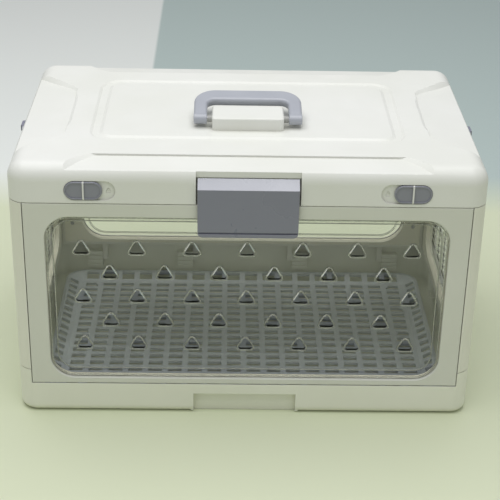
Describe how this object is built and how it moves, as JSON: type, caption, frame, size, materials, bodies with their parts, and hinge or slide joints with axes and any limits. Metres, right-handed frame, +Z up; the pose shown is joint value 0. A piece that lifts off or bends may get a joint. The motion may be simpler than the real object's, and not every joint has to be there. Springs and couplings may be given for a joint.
{
  "type": "hard-sided pet carrier",
  "caption": "Hard-sided pet carrier: a rimmed tub with framed clear windows, a drop-down front door, a hinged lid with slide locks, a flip latch and a folding handle.",
  "frame": {"origin": "on the ground under the middle of the carrier, all pieces at rest: lid and door closed", "axes": "+X to the right of someone who faces the door, +Y from the door to the back wall, +Z up"},
  "size_m": [0.4672, 0.305, 0.2943],
  "materials": {
    "cream_plastic": "fine matt",
    "grey_plastic": "satin",
    "grey_mat": "matt",
    "clear_plastic": "clear gloss",
    "steel": "bright"
  },
  "bodies": {
    "carrier": {"base_tub": "cream_plastic", "door_hinge_pins": "steel", "back_wall_frame": "cream_plastic", "back_window": "clear_plastic", "back_inner_frame": "cream_plastic", "back_wall_screws": "steel", "back_wall_hinge_pins": "steel", "lid_hinge_pin": "steel", "left_wall_frame": "cream_plastic", "left_window": "clear_plastic", "left_inner_frame": "cream_plastic", "left_wall_screws": "steel", "left_wall_hinge_pins": "steel", "left_clip_pin": "steel", "right_wall_frame": "cream_plastic", "right_window": "clear_plastic", "right_inner_frame": "cream_plastic", "right_wall_screws": "steel", "right_wall_hinge_pins": "steel", "right_clip_pin": "steel"},
    "mat": {"floor_mat": "grey_mat"},
    "door": {"door_frame": "cream_plastic", "door_window": "clear_plastic", "door_inner_frame": "cream_plastic", "door_screws": "steel", "latch_pins": "steel"},
    "latch": {"front_latch": "grey_plastic"},
    "lid": {"lid_shell": "cream_plastic", "handle_block": "cream_plastic", "handle_block_screws": "steel", "handle_rod": "steel"},
    "handle": {"handle_bail": "grey_plastic"},
    "slide_lock_left": {"left_slide_knob": "grey_plastic", "left_slide_bolt": "grey_plastic", "left_slide_screw": "steel"},
    "slide_lock_right": {"right_slide_knob": "grey_plastic", "right_slide_bolt": "grey_plastic", "right_slide_screw": "steel"},
    "side_clip_left": {"left_clip": "grey_plastic"},
    "side_clip_right": {"right_clip": "grey_plastic"}
  },
  "joints": [
    {"name": "lid_swing", "type": "hinge", "parent": "carrier", "child": "lid", "pos_m": [0, 0.149, 0.23425], "axis": [-1, 0, 0], "range_deg": [0, 100]},
    {"name": "door_swing", "type": "hinge", "parent": "carrier", "child": "door", "pos_m": [0, -0.1425, 0.041], "axis": [1, 0, 0], "range_deg": [0, 90]},
    {"name": "latch_flip", "type": "hinge", "parent": "door", "child": "latch", "pos_m": [0, -0.1441, 0.25305], "axis": [-1, 0, 0], "range_deg": [0, 40]},
    {"name": "handle_fold", "type": "hinge", "parent": "lid", "child": "handle", "pos_m": [0, -0.0435, 0.281], "axis": [1, 0, 0], "range_deg": [0, 79]},
    {"name": "slide_left", "type": "slide", "parent": "lid", "child": "slide_lock_left", "axis": [1, 0, 0], "range_m": [0, 0.012]},
    {"name": "slide_right", "type": "slide", "parent": "lid", "child": "slide_lock_right", "axis": [-1, 0, 0], "range_m": [0, 0.012]},
    {"name": "clip_left", "type": "hinge", "parent": "carrier", "child": "side_clip_left", "pos_m": [-0.2312, 0, 0.2105], "axis": [0, -1, 0], "range_deg": [0, 120]},
    {"name": "clip_right", "type": "hinge", "parent": "carrier", "child": "side_clip_right", "pos_m": [0.2312, 0, 0.2105], "axis": [0, 1, 0], "range_deg": [0, 120]},
    {"name": "mat_lift", "type": "slide", "parent": "carrier", "child": "mat", "axis": [0, 0, 1], "range_m": [0, 0.15]}
  ]
}
